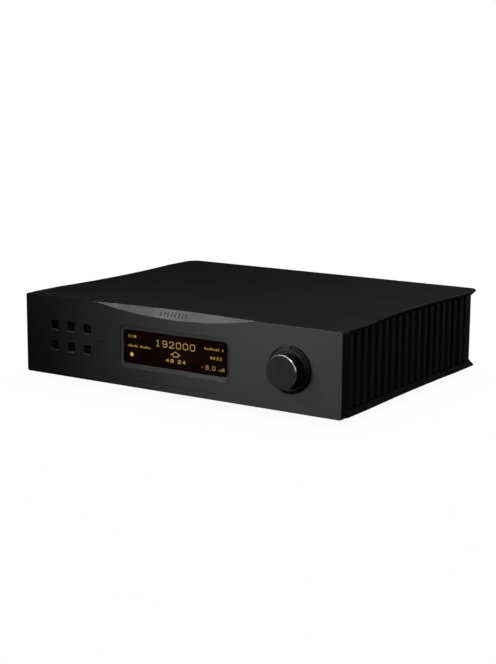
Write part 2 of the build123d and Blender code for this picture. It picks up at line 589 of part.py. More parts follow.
board_screw = screw(2.5, 5.6, 2.4, 1.5, socket=1.6)
board_screws = [head_back(board_screw, x, 13.12, z) for x, z in FRONT_BOARD_SCREWS]
board_screws += [Pos(x, y, BOARD_TOP + 1.52) * board_screw for x, y in STANDOFFS]
board_screws += [head_down(board_screw, x, y, -1.52) for x, y in STANDOFFS]
save_group("board_screws", board_screws)

SMALL_CHIPS = [(-115, 180), (-100, 180), (-70, 180), (-57, 180), (10, 170), (14, 200), (-14, 160)]
chips = [box_z(x, 140, 10, 10, BOARD_TOP, BOARD_TOP + 1.6) for x in (-112, -60)]
chips += [box_z(x, y, 8, 5, BOARD_TOP, BOARD_TOP + 1.7) for x, y in SMALL_CHIPS]
save_group("converter_chips", chips)
audio_caps = [box_z(x, y, 12, 5, BOARD_TOP, BOARD_TOP + 11) for x in (-112, -62) for y in (157, 166)]
audio_caps += [rod_z(x, 202, BOARD_TOP, BOARD_TOP + 14, 5.0) for x in (-122, -106, -74, -58, -90)]
save_group("audio_capacitors", audio_caps)
save_group("reservoir_capacitors", [
    rod_z(x, y, BOARD_TOP, BOARD_TOP + 34, 11.0) for x in (-112, -86, -60, -34) for y in (46, 74)])

# ---------------------------------------------------------------- transformers
TOROID_R, TOROID_HOLE_R, TOROID_H = 35.0, 10.0, 30.0
TOROID_Z0 = INNER_Z0 + 1.5
TOROID_TOP = TOROID_Z0 + TOROID_H
COLLAR_TOP = TOROID_TOP + 6.5


def toroid(y):
    section = RectangleRounded(TOROID_R - TOROID_HOLE_R, TOROID_H, 6.0)
    section_x = TOROID_X + (TOROID_R + TOROID_HOLE_R) / 2
    face = upright(section_x, y, TOROID_Z0 + TOROID_H / 2) * section
    return revolve(face, axis=Axis((TOROID_X, y, 0), (0, 0, 1)), revolution_arc=360)


save("digital_transformer", toroid(TOROID_Y[0]))
save("analogue_transformer", toroid(TOROID_Y[1]))
toroid_bolt = screw(5.8, COLLAR_TOP + 2.0, 5.0, 1.8, socket=3.5)
discs, toroid_bolts = [], []
for y in TOROID_Y:
    disc = rod_z(TOROID_X, y, TOROID_TOP + 0.1, TOROID_TOP + 2.1, 24.0)
    discs.append(disc - rod_z(TOROID_X, y, 0, 60, 3.1))
    toroid_bolts.append(head_down(toroid_bolt, TOROID_X, y, -1.82)
                        + rod_z(TOROID_X, y, TOROID_TOP + 2.12, COLLAR_TOP, 5.0))
save_group("transformer_discs", discs)
save_group("transformer_bolts", toroid_bolts)

# ---------------------------------------------------------------- cables
RIBBON = [  # y, z: from the display board back over the power board to the main area
    (13.4, 50.0), (22, 54.0), (122, 54.0), (131, 40.0), (136, BOARD_TOP + 8.0),
    (136, BOARD_TOP + 0.1), (133, BOARD_TOP + 0.1), (133, BOARD_TOP + 8.0),
    (129.5, 39.0), (121, 53.0), (23, 53.0), (13.4, 48.6),
]
ribbon_plane = Plane(origin=(-20, 0, 0), x_dir=(0, 1, 0), z_dir=(1, 0, 0))
ribbon = extrude(ribbon_plane * outline(RIBBON), amount=22)
ribbon += box(-22, 4, 11.62, 15.0, 46.5, 52.5)       # plugs at both ends
ribbon += box(-22, 4, 131.0, 138.0, BOARD_TOP, BOARD_TOP + 7)
save("front_ribbon_cable", ribbon)

WIRE_R = 1.3
PIN_Z = SOCKET_Z - 2
LOW_Z, HIGH_Z = SWITCH_Z - TERMINAL_DZ, SWITCH_Z + TERMINAL_DZ   # switch terminals
WIRES = [
    # inlet to the switch's lower terminal
    [(INLET_X - 7, 215.5, PIN_Z), (INLET_X - 7, 205, 24), (SWITCH_X + 4, 205, 24),
     (SWITCH_X, 215, LOW_Z), (SWITCH_X, 227.5, LOW_Z)],
    # switch's upper terminal to the power board
    [(SWITCH_X, 227.5, HIGH_Z), (SWITCH_X, 212, HIGH_Z), (54.6, 200, 34), (54.6, 112, 34),
     (46.5, 92, 24), (46.5, 92, 22)],
    # inlet to the power board
    [(INLET_X + 7, 215.5, PIN_Z), (INLET_X + 7, 199, 28), (54.6, 199, 28), (54.6, 112, 28),
     (40, 96, 24), (40, 96, 21)],
]


def wire(points):
    start = (Vector(*points[1]) - Vector(*points[0])).normalized()
    section = Plane(origin=points[0], z_dir=tuple(start)) * Circle(WIRE_R)
    return sweep(section, path=Polyline(*points), transition=Transition.ROUND)


save_group("mains_wires", [wire(points) for points in WIRES])
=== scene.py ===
"""A black anodised audio component: case with side heatsinks, smoked display window and turned knob.

The frame is in metres with +Z up. The front face looks along -Y and the product's right is +X.
The CAD pieces get procedural materials, and the display's lit marks are built on its face.
Places on the front are given in mm and turned into the frame by at().
"""
import bpy
import bmesh
import math
from mathutils import Matrix, Vector


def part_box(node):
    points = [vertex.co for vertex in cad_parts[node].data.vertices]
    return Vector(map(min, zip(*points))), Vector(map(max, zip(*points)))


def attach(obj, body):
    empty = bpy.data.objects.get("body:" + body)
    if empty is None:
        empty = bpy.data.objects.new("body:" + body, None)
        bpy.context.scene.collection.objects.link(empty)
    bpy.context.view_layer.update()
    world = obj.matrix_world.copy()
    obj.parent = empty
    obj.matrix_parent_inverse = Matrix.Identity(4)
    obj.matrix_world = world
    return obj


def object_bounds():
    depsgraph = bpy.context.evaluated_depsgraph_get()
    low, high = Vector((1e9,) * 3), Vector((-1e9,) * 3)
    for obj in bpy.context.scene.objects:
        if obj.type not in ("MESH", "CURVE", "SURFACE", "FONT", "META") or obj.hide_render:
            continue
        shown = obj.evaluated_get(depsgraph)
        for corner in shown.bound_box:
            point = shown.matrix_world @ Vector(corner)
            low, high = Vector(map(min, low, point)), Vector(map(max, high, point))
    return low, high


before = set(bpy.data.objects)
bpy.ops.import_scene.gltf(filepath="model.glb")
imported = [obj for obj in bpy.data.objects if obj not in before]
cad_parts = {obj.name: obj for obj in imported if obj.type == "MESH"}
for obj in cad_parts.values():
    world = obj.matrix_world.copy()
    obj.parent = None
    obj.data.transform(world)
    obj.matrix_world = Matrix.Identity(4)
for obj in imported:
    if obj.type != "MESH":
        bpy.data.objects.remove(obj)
cad_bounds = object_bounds()

# ------------------------------------------------------------------ places
MM = 0.001
panel_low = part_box("front_panel")[0]
FRONT = panel_low.y         # the front face
BASE = panel_low.z          # underside of the case
knob_low, knob_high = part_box("knob_body")
KNOB_CENTRE = (knob_low + knob_high) / 2


def at(x, y, z):
    """x to the right of the middle, y behind the front face, z above the underside, in mm."""
    return Vector((x * MM, FRONT + y * MM, BASE + z * MM))


def bearing(azimuth, elevation=0.0):
    """Unit vector at an azimuth (0 in front, 90 at the right) and elevation, in degrees."""
    turn, rise = math.radians(azimuth), math.radians(elevation)
    return Vector((math.sin(turn) * math.cos(rise), -math.cos(turn) * math.cos(rise),
                   math.sin(rise)))


def add_object(name, data):
    obj = bpy.data.objects.new(name, data)
    bpy.context.scene.collection.objects.link(obj)
    return obj


def add_mesh(name, bm, material):
    mesh = bpy.data.meshes.new(name)
    bm.to_mesh(mesh)
    bm.free()
    mesh.materials.append(material)
    return add_object(name, mesh)


# ------------------------------------------------------------------ node helpers
class Graph:
    """Builds the node tree of a material or a world.

    An input value may be a number, a tuple or another node's output socket.
    """

    def __init__(self, owner, output="ShaderNodeOutputMaterial"):
        owner.use_nodes = True
        self.owner = owner
        self.tree = owner.node_tree
        self.tree.nodes.clear()
        self.output = self.new(output)

    def new(self, kind, inputs=None, **properties):
        node = self.tree.nodes.new(kind)
        for key, value in properties.items():
            setattr(node, key, value)
        for key, value in (inputs or {}).items():
            self.feed(node.inputs[key], value)
        return node

    def feed(self, socket, value):
        if isinstance(value, bpy.types.NodeSocket):
            self.tree.links.new(value, socket)
            return
        if socket.type == "RGBA" and len(value) == 3:
            value = (*value, 1.0)
        socket.default_value = value

    def surface(self, shader):
        """Sends a shader to the output and returns the finished material or world."""
        self.feed(self.output.inputs["Surface"], shader)
        return self.owner

    def coords(self, scale=(1, 1, 1)):
        place = self.new("ShaderNodeTexCoord").outputs["Object"]
        return self.new("ShaderNodeMapping", {"Vector": place, "Scale": scale}).outputs["Vector"]

    def position(self):
        """x, y and z of the shaded point, in metres."""
        place = self.new("ShaderNodeTexCoord").outputs["Object"]
        return self.new("ShaderNodeSeparateXYZ", {0: place}).outputs

    def facing(self):
        """x, y and z of the face's own normal."""
        normal = self.new("ShaderNodeNewGeometry").outputs["True Normal"]
        return self.new("ShaderNodeSeparateXYZ", {0: normal}).outputs

    def noise(self, vector, scale, detail=2.0, rough=0.5):
        return self.new("ShaderNodeTexNoise", {"Scale": scale, "Detail": detail,
                                               "Roughness": rough, "Vector": vector}).outputs["Fac"]

    def remap(self, value, start, end, low=0.0, high=1.0):
        """low where value is at start, high where it is at end, and clamped beyond."""
        return self.new("ShaderNodeMapRange", {
            "Value": value, "From Min": start, "From Max": end,
            "To Min": low, "To Max": high}).outputs["Result"]

    def spread(self, noise, low, high):
        """Stretches the middle of a noise's range over low to high."""
        return self.remap(noise, 0.3, 0.7, low, high)

    def calc(self, operation, *values):
        return self.new("ShaderNodeMath", dict(enumerate(values)), operation=operation).outputs[0]

    def product(self, first, *others):
        for other in others:
            first = self.calc("MULTIPLY", first, other)
        return first

    def sum_of_squares(self, a, b):
        return self.calc("ADD", self.product(a, a), self.product(b, b))

    def fade(self, mask, share, value):
        """value, reduced to a share of itself where the mask is 1."""
        return self.product(self.remap(mask, 0.0, 1.0, 1.0, share), value)

    def scaled(self, color, factor):
        return self.new("ShaderNodeVectorMath", {0: color, "Scale": factor},
                        operation="SCALE").outputs["Vector"]

    def mix(self, factor, a, b):
        """Colour a where the factor is 0, b where it is 1."""
        # inputs 6 and 7 and output 2 are the node's colour sockets
        return self.new("ShaderNodeMix", {0: factor, 6: a, 7: b}, data_type="RGBA").outputs[2]

    def mix_shaders(self, factor, a, b):
        return self.new("ShaderNodeMixShader", {0: factor, 1: a, 2: b}).outputs[0]

    def bump(self, height, strength, distance, normal=None):
        inputs = {"Strength": strength, "Distance": distance, "Height": height}
        if normal is not None:
            inputs["Normal"] = normal
        return self.new("ShaderNodeBump", inputs).outputs["Normal"]

    def edge(self, radius):
        """(softened normal, how close to a sharp edge the point is)."""
        soft = self.new("ShaderNodeBevel", {"Radius": radius}, samples=4).outputs["Normal"]
        normal = self.new("ShaderNodeNewGeometry").outputs["Normal"]
        match = self.new("ShaderNodeVectorMath", {0: soft, 1: normal}, operation="DOT_PRODUCT")
        return soft, self.remap(match.outputs["Value"], 0.97, 0.75)

    def principled(self, **values):
        """Finishes with a principled surface; input names take underscores for spaces."""
        inputs = {key.replace("_", " "): value for key, value in values.items()}
        return self.surface(self.new("ShaderNodeBsdfPrincipled", inputs).outputs["BSDF"])


def material_graph(name):
    return Graph(bpy.data.materials.new(name))


def around(middle, amount):
    return middle - amount, middle + amount


def lighter(color, gain, lift=0.0):
    return tuple(min(1.0, c * gain + lift) for c in color)


# ------------------------------------------------------------------ anodised metal
# Noise scales are per metre; bump distances and edge radii are in metres.
def paint_gap_fill_light(g, color, roughness, inner, outer, fill_light_color):
    """Between the fins: painted fill light, paler from outer in to inner (mm from the middle), and
    duller.
    """
    from_middle = g.calc("ABSOLUTE", g.position()[0])
    deep = g.remap(from_middle, outer * MM, inner * MM)
    return g.mix(deep, color, fill_light_color), g.calc("MAXIMUM", roughness, g.product(deep, 0.62))


def paint_flank_shade(g, color, specular, flank_shade_color, gloss):
    """Faces that look sideways: painted shade, a darker colour and a share of the gloss."""
    flank = g.calc("GREATER_THAN", g.calc("ABSOLUTE", g.facing()[0]), 0.8)
    return g.mix(flank, color, flank_shade_color), g.fade(flank, gloss, specular)


def paint_recess_light_and_shade(g, color, specular, half_width, painted_light_color):
    """The cut slopes round the window: painted light looking right or down, painted shade looking
    up.
    """
    facing = g.facing()
    slope = g.product(
        g.calc("LESS_THAN", g.calc("ABSOLUTE", g.position()[0]), half_width * MM),
        g.calc("LESS_THAN", facing[1], -0.88),
        g.calc("GREATER_THAN", facing[1], -0.985))
    # slopes looking right or down take a painted light colour, and slopes looking up a painted shade
    bare_metal_or_painted_light = g.calc("ADD", g.remap(facing[0], 0.05, 0.3), g.remap(facing[2], -0.05, -0.26))
    color = g.mix(g.product(slope, g.calc("MINIMUM", bare_metal_or_painted_light, 1.0)), color, painted_light_color)
    shaded_upward = g.product(slope, g.remap(facing[2], 0.05, 0.26))
    return g.mix(shaded_upward, color, (0.012, 0.012, 0.013)), g.fade(shaded_upward, 0.72, specular)


def paint_rolled_edge_shade(g, color, specular, base, from_x, from_z, share):
    """The small radius along the outer top edge: painted shade, a share of the colour and gloss,
    less so at right.

    from_x is mm to either side of the middle, from_z is mm above the underside.
    """
    facing = g.facing()
    place = g.position()
    rolled_shade = g.product(
        g.calc("GREATER_THAN", g.calc("ABSOLUTE", place[0]), from_x * MM),
        g.calc("GREATER_THAN", place[2], at(0, 0, from_z).z),
        g.calc("GREATER_THAN", facing[2], 0.1),
        g.calc("LESS_THAN", facing[2], 0.98),
        g.remap(place[0], -0.02, 0.08, 1.0, 0.4))
    return g.mix(rolled_shade, color, tuple(c * share for c in base)), g.fade(rolled_shade, share, specular)


def row_of_bars(g, left, right, bottom, top, pitch, fill):
    """Upright bars in a rectangle of the front face (mm): 1 inside a bar and 0 outside."""
    low, high = at(left, 0, bottom), at(right, 0, top)
    place = g.position()
    soft = 0.00010          # half width of the blurred border, in metres
    sides = []
    for axis, start, end in ((place[0], low.x, high.x), (place[2], low.z, high.z)):
        sides.append(g.remap(axis, start - soft, start + soft))
        sides.append(g.remap(axis, end + soft, end - soft))
    along = g.calc("DIVIDE", g.calc("SUBTRACT", place[0], low.x), pitch * MM)
    part = g.calc("FRACT", along)
    blur = soft / (pitch * MM)
    inside = g.product(g.remap(part, 0.0, blur), g.remap(part, fill, fill - blur))
    near_front = g.remap(place[1], FRONT + 0.0075, FRONT + 0.007)
    return g.product(g.product(*sides), inside, near_front)


def engraved_film(g, color, specular, normal, amount, **row):
    """A row of engraved bars: sunk, dark and dull."""
    cut = g.product(row_of_bars(g, **row), amount)
    normal = g.bump(g.product(cut, -1.0), strength=1.0, distance=0.00012, normal=normal)
    color = g.mix(g.product(cut, 0.75), color, (0.004, 0.004, 0.0045))
    return color, g.fade(cut, 0.35, specular), normal


def anodised(name, base, rough, specular=0.5, wear=0.35,
             gap_fill_light=None, flank_shade=None, recess_light_and_shade=None, rolled_shade=None, engraved=()):
    """Bead-blasted anodised aluminium: dark film, fine grain, faint clouding, lighter edges.

    Four optional arguments take the painted light and shade above; each of engraved takes an
    engraved row.
    """
    grain = 0.00022         # metres
    g = material_graph(name)
    place = g.coords()
    fine = g.noise(place, scale=1.0 / grain, rough=0.6)
    pits = g.noise(place, scale=0.42 / grain, detail=3.0, rough=0.55)
    cloud = g.noise(place, scale=9.0, detail=3.0)
    smudge = g.noise(place, scale=38.0, detail=4.0, rough=0.55)
    scuffs = g.noise(place, scale=260.0, detail=4.0, rough=0.7)
    soft, edge = g.edge(radius=0.00035)
    worn = g.product(edge, g.remap(scuffs, 0.35, 0.7, 0.25, 1.0))
    shade = g.spread(cloud, *around(1.0, 0.10))
    speck = g.remap(fine, 0.25, 0.75, 0.82, 1.18)
    color = g.mix(g.product(worn, wear), g.scaled(base, g.product(shade, speck)),
                  lighter(base, gain=3.2, lift=0.035))
    roughness = g.calc("ADD", g.spread(smudge, *around(rough, 0.035)),
                       g.spread(fine, -0.03, 0.03))
    height = g.calc("ADD", g.product(fine, 0.6), g.product(pits, 0.7))
    normal = g.bump(height, strength=0.55, distance=0.000012, normal=soft)
    if gap_fill_light:
        color, roughness = paint_gap_fill_light(g, color, roughness, **gap_fill_light)
    if flank_shade:
        color, specular = paint_flank_shade(g, color, specular, **flank_shade)
    if recess_light_and_shade:
        color, specular = paint_recess_light_and_shade(g, color, specular, **recess_light_and_shade)
    if rolled_shade:
        color, specular = paint_rolled_edge_shade(g, color, specular, base, **rolled_shade)
    for row in engraved:
        color, specular, normal = engraved_film(g, color, specular, normal, **row)
    return g.principled(Base_Color=color, Roughness=roughness, Specular_IOR_Level=specular,
                        Metallic=0.0, Normal=normal)


# ------------------------------------------------------------------ turned metal
def tick_marks(g, dx, dz, radius, count, first, half_width, inner, outer):
    """Radial marks, the first at an angle in degrees clockwise from the top; sizes in mm."""
    step = 2 * math.pi / count
    turn = g.calc("SUBTRACT", g.calc("ARCTAN2", dx, dz), math.radians(first))
    # the extra half puts each mark in the middle of its step; the 8 keeps the value positive
    part = g.calc("FRACT", g.calc("ADD", g.calc("DIVIDE", turn, step), 8.5))
    away = g.product(g.calc("ABSOLUTE", g.calc("SUBTRACT", part, 0.5)), step, radius)
    return g.product(
        g.remap(away, (half_width + 0.08) * MM, (half_width - 0.04) * MM),
        g.remap(radius, (inner - 0.1) * MM, (inner + 0.1) * MM),
        g.remap(radius, (outer + 0.1) * MM, (outer - 0.1) * MM))


def turned(name, base, rough, centre, pitch=0.00016, specular=0.5, wear=0.5,
           cut_rim=None, painted_highlight_ring=None, ticks=None):
    """Lathe-turned anodised metal: fine rings about an axis along Y.

    cut_rim: roughness of the bare metal on faces that slope at about 45 degrees.
    painted_highlight_ring: radius in mm of an edge painted with a thin light line as a highlight,
    partly metallic.
    ticks: the arguments of tick_marks.
    """
    g = material_graph(name)
    x, y, z = g.position()
    dx = g.calc("SUBTRACT", x, centre.x)
    dz = g.calc("SUBTRACT", z, centre.z)
    radius = g.calc("SQRT", g.sum_of_squares(dx, dz))
    profile = g.new("ShaderNodeCombineXYZ", {0: radius, 1: y}).outputs[0]
    rings = g.noise(profile, scale=1.0 / pitch, rough=0.6)
    place = g.coords()
    fine = g.noise(place, scale=5200.0, rough=0.6)
    smudge = g.noise(place, scale=70.0, detail=4.0, rough=0.6)
    soft, edge = g.edge(radius=0.00025)
    shade = g.product(g.spread(rings, 0.85, 1.15), g.spread(smudge, 0.93, 1.07))
    color = g.mix(g.product(edge, wear), g.scaled(base, shade), lighter(base, gain=3.0, lift=0.04))
    roughness = g.spread(smudge, *around(rough, 0.04))
    height = g.calc("ADD", rings, g.product(fine, 0.35))
    normal = g.bump(height, strength=0.5, distance=0.000010, normal=soft)
    metallic = 0.0
    if painted_highlight_ring is not None:
        # a thin painted highlight line on the edge, lighter and partly metallic
        off_ring = g.calc("ABSOLUTE", g.calc("SUBTRACT", radius, painted_highlight_ring * MM))
        line = g.product(g.remap(off_ring, 0.00028, 0.00012), g.spread(smudge, 0.5, 0.9))
        color = g.mix(line, color, (0.07, 0.07, 0.072))
        metallic = g.product(line, 0.6)
    if ticks:
        mark = tick_marks(g, dx, dz, radius, **ticks)
        color = g.mix(mark, color, (0.0006, 0.0006, 0.0007))
        specular = g.product(g.calc("SUBTRACT", 1.0, mark), specular)
    if cut_rim is not None:
        slope = g.product(g.facing()[1], -1.0)
        rim = g.product(g.calc("GREATER_THAN", slope, 0.45), g.calc("LESS_THAN", slope, 0.93))
        bare_metal_or_painted_light = g.mix(g.spread(rings, 0.0, 1.0), (0.62, 0.63, 0.65), (0.80, 0.80, 0.82))
        color = g.mix(rim, color, bare_metal_or_painted_light)
        metallic = rim
        roughness = g.calc("ADD", g.product(rim, cut_rim),
                           g.product(g.calc("SUBTRACT", 1.0, rim), roughness))
    return g.principled(Base_Color=color, Roughness=roughness, Specular_IOR_Level=specular,
                        Metallic=metallic, Normal=normal)


# ------------------------------------------------------------------ other materials
def plated(name, base, rough, brushed=(1, 1, 1), tarnish=(0.3, 0.24, 0.18), amount=0.25):
    """Plated or bare metal, brushed along one direction, with a little tarnish."""
    g = material_graph(name)
    streak = g.noise(g.coords(scale=brushed), scale=2600.0, detail=3.0, rough=0.6)
    cloud = g.noise(g.coords(), scale=240.0, detail=4.0, rough=0.6)
    soft, edge = g.edge(radius=0.0002)
    dark = tuple(b * t for b, t in zip(base, tarnish))
    color = g.mix(g.product(g.remap(cloud, 0.45, 0.8), amount), base, dark)
    color = g.mix(g.product(edge, 0.25), color, lighter(base, gain=1.2))
    roughness = g.calc("ADD", g.spread(streak, *around(rough, 0.06)),
                       g.remap(cloud, 0.4, 0.8, 0.0, 0.10))
    normal = g.bump(streak, strength=0.5, distance=0.000006, normal=soft)
    return g.principled(Base_Color=color, Roughness=roughness, Metallic=1.0, Normal=normal)


def plastic(name, base, rough, grain=2400.0, depth=0.00001, specular=0.5, coat=0.0):
    """Moulded plastic with a fine spark-eroded texture."""
    g = material_graph(name)
    place = g.coords()
    fine = g.noise(place, scale=grain, detail=3.0, rough=0.6)
    cloud = g.noise(place, scale=55.0, detail=3.0)
    soft, edge = g.edge(radius=0.00025)
    shade = g.product(g.spread(cloud, *around(1, 0.08)), g.spread(fine, 0.92, 1.08))
    color = g.mix(g.product(edge, 0.18), g.scaled(base, shade), lighter(base, gain=2.2, lift=0.02))
    return g.principled(
        Base_Color=color, Roughness=g.spread(cloud, *around(rough, 0.04)),
        Specular_IOR_Level=specular, Coat_Weight=coat, Coat_Roughness=0.05,
        Normal=g.bump(fine, strength=0.5, distance=depth, normal=soft))


def rubber(name):
    g = material_graph(name)
    place = g.coords()
    fine = g.noise(place, scale=1500.0, detail=4.0, rough=0.65)
    cloud = g.noise(place, scale=90.0, detail=3.0)
    color = g.mix(g.remap(cloud, 0.35, 0.75, 0.0, 0.6),
                  (0.018, 0.018, 0.018), (0.05, 0.048, 0.045))
    return g.principled(Base_Color=color, Roughness=g.spread(fine, 0.72, 0.9),
                        Specular_IOR_Level=0.3,
                        Normal=g.bump(fine, strength=0.7, distance=0.00004))


def laminate(name):
    """Green circuit board: a brick pattern of solder mask with a faint glass weave."""
    g = material_graph(name)
    brick = g.new("ShaderNodeTexBrick", {
        "Vector": g.coords(), "Scale": 180.0, "Mortar Size": 0.02,
        "Color1": (0.010, 0.085, 0.035), "Color2": (0.014, 0.105, 0.045),
        "Mortar": (0.03, 0.17, 0.07)})
    weave = g.noise(g.coords(scale=(1, 6, 1)), scale=900.0)
    color = g.mix(g.spread(weave, 0.0, 0.35), brick.outputs["Color"], (0.006, 0.05, 0.02))
    return g.principled(Base_Color=color, Roughness=g.spread(weave, 0.28, 0.4), Coat_Weight=0.3,
                        Normal=g.bump(brick.outputs["Fac"], strength=0.4, distance=0.00003))


def window_glass(name):
    """Smoked window: mostly see-through, with a mirror-like surface and the faintest haze."""
    g = material_graph(name)
    haze = g.noise(g.coords(), scale=320.0, detail=5.0, rough=0.65)
    fresnel = g.new("ShaderNodeFresnel", {"IOR": 1.42}).outputs[0]
    clear = g.new("ShaderNodeBsdfTransparent", {"Color": (0.62, 0.58, 0.55)}).outputs[0]
    mirror = g.new("ShaderNodeBsdfGlossy", {
        "Color": (0.9, 0.9, 0.92), "Roughness": g.remap(haze, 0.3, 0.8, 0.03, 0.09)}).outputs[0]
    return g.surface(g.mix_shaders(g.product(fresnel, 0.55), clear, mirror))


CELL = 0.00036      # pitch of the display's cells, in metres
# soft glows round the lit marks: middle x, middle z, reach in x, reach in z (mm), amount
GLOWS = (
    (0, 39.5, 27, 8, 1.0), (0, 28.5, 15, 8, 0.7), (-43, 38.5, 13, 9, 0.55),
    (-45, 27, 7, 6, 0.5), (38, 38, 14, 8, 0.5), (37, 25, 14, 6, 0.7),
)


def cell_parts(g, place):
    """How far the point is across its display cell, in x and in z, 0 to 1."""
    return [g.calc("FRACT", g.product(place[axis], 1.0 / CELL)) for axis in (0, 2)]


def panel_face(name):
    """The unlit display: near black, in fine cells, with a painted warm glow, faint all over and
    stronger round the lit marks.
    """
    g = material_graph(name)
    place = g.position()
    grid = g.product(*[g.calc("GREATER_THAN", part, 0.12) for part in cell_parts(g, place)])
    halo = None
    for x, z, reach_x, reach_z, amount in GLOWS:
        middle = at(x, 0, z)
        dx = g.calc("DIVIDE", g.calc("SUBTRACT", place[0], middle.x), reach_x * MM)
        dz = g.calc("DIVIDE", g.calc("SUBTRACT", place[2], middle.z), reach_z * MM)
        falloff = g.calc("EXPONENT", g.product(g.sum_of_squares(dx, dz), -1.3))
        glow = g.product(falloff, amount)
        halo = glow if halo is None else g.calc("ADD", halo, glow)
    uneven = g.spread(g.noise(g.coords(), scale=60.0), 0.75, 1.25)
    level = g.product(uneven, g.calc("ADD", g.product(halo, 1.35), 0.5))
    return g.principled(
        Base_Color=g.mix(grid, (0.004, 0.003, 0.003), (0.010, 0.006, 0.004)),
        Roughness=0.25, Specular_IOR_Level=0.25, Emission_Color=(1.0, 0.30, 0.17),
        Emission_Strength=g.product(g.product(grid, level), 0.0125))


def lit(name, color, strength):
    """A lit mark on the display, broken into the panel's own fine cells."""
    g = material_graph(name)
    cells = [g.remap(part, 0.02, 0.16, 0.55, 1.0) for part in cell_parts(g, g.position())]
    vary = g.spread(g.noise(g.coords(), scale=900.0), 0.9, 1.1)
    return g.principled(Base_Color=(0.05, 0.03, 0.01), Roughness=0.5, Emission_Color=color,
                        Emission_Strength=g.product(*cells, vary, strength))


# ------------------------------------------------------------------ finishes
MATERIALS = {
    "case": anodised(
        "case_anodised", (0.020, 0.0203, 0.0215), rough=0.44, wear=0.05,
        # painted shade on the faces that look sideways
        flank_shade=dict(flank_shade_color=(0.010, 0.010, 0.011), gloss=0.35),
        # painted light and shade on the window's cut slopes
        recess_light_and_shade=dict(half_width=57.0, painted_light_color=(0.075, 0.076, 0.079)),
        # painted shade on the rolled top edge
        rolled_shade=dict(from_x=83.5, from_z=69.2, share=0.3),
        engraved=(dict(left=-14.6, right=14.6, bottom=64.4, top=67.8,
                       pitch=3.65, fill=0.34, amount=1.0),
                  dict(left=-40.5, right=40.5, bottom=5.1, top=6.2,
                       pitch=2.3, fill=0.62, amount=0.5))),
    "plate": anodised("plate_anodised", (0.015, 0.0152, 0.016), rough=0.50, wear=0.08),
    # the bottom plate: painted shade, a darker and less glossy copy of the plates' anodising
    "plate_low_shaded": anodised("plate_low_shaded_anodised", (0.004, 0.004, 0.0043), rough=0.55,
                          specular=0.09, wear=0.04),
    "fins": anodised("fin_anodised", (0.011, 0.011, 0.012), rough=0.48, wear=0.2,
                     # painted fill light deep between the fins
                     gap_fill_light=dict(inner=142.0, outer=152.9, fill_light_color=(0.065, 0.065, 0.068))),
    "rear": anodised("rear_anodised", (0.020, 0.020, 0.021), rough=0.5, wear=0.3),
    # the feet's axis is metres away, so their rings run nearly straight
    "feet": turned("feet_anodised", (0.02, 0.02, 0.022), rough=0.4, centre=Vector((10, 0, 10))),
    "knob": turned("knob_turned", (0.009, 0.009, 0.010), rough=0.38, centre=KNOB_CENTRE,
                   specular=0.28, wear=0.12, cut_rim=0.26),
    "skirt": turned("skirt_turned", (0.007, 0.007, 0.008), rough=0.44, centre=KNOB_CENTRE,
                    # a painted highlight line on the bevel's edge
                    pitch=0.00022, specular=0.26, wear=0.12, painted_highlight_ring=16.55,
                    ticks=dict(count=8, first=-37.0, half_width=0.5, inner=17.1, outer=19.2)),
    "button": plastic("button_satin", (0.0022, 0.0022, 0.0025), rough=0.5, grain=900.0,
                      depth=0.000006, specular=0.12),
    "rocker": plastic("rocker_gloss", (0.010, 0.010, 0.011), rough=0.22, grain=900.0,
                      depth=0.000004, coat=0.4),
    "plastic": plastic("moulded_black", (0.018, 0.018, 0.019), rough=0.48),
    "chip": plastic("epoxy_black", (0.02, 0.02, 0.021), rough=0.55),
    "sleeve": plastic("sleeve_blue", (0.02, 0.03, 0.08), rough=0.3, coat=0.3),
    "red": plastic("lens_red", (0.008, 0.0015, 0.0015), rough=0.22, grain=400.0,
                   depth=0.000002, specular=0.3),
    "cable": plastic("cable_grey", (0.30, 0.30, 0.31), rough=0.5),
    "wire": plastic("wire_red", (0.25, 0.03, 0.02), rough=0.45),
    "rubber": rubber("foot_rubber"),
    "board": laminate("board_laminate"),
    "steel": plated("zinc_steel", (0.50, 0.50, 0.52), rough=0.34, brushed=(1, 8, 1)),
    "black_steel": plated("black_oxide", (0.055, 0.054, 0.056), rough=0.42, amount=0.4),
    "nickel": plated("nickel_plate", (0.60, 0.59, 0.57), rough=0.30, brushed=(1, 6, 1),
                     tarnish=(0.8, 0.78, 0.74), amount=0.3),
    "gold": plated("gold_plate", (0.83, 0.58, 0.22), rough=0.24,
                   tarnish=(0.85, 0.75, 0.6), amount=0.3),
    "winding": plastic("winding_tape", (0.30, 0.20, 0.04), rough=0.35, grain=1200.0, coat=0.4),
    "glass": window_glass("window_smoked"),
    "face": panel_face("display_dark"),
    "amber": lit("amber_bright", (1.0, 0.72, 0.26), strength=1.13),
    "amber_dim": lit("amber_dim", (1.0, 0.72, 0.21), strength=0.76),
    "amber_hot": lit("amber_hot", (1.0, 0.62, 0.20), strength=1.9),
}
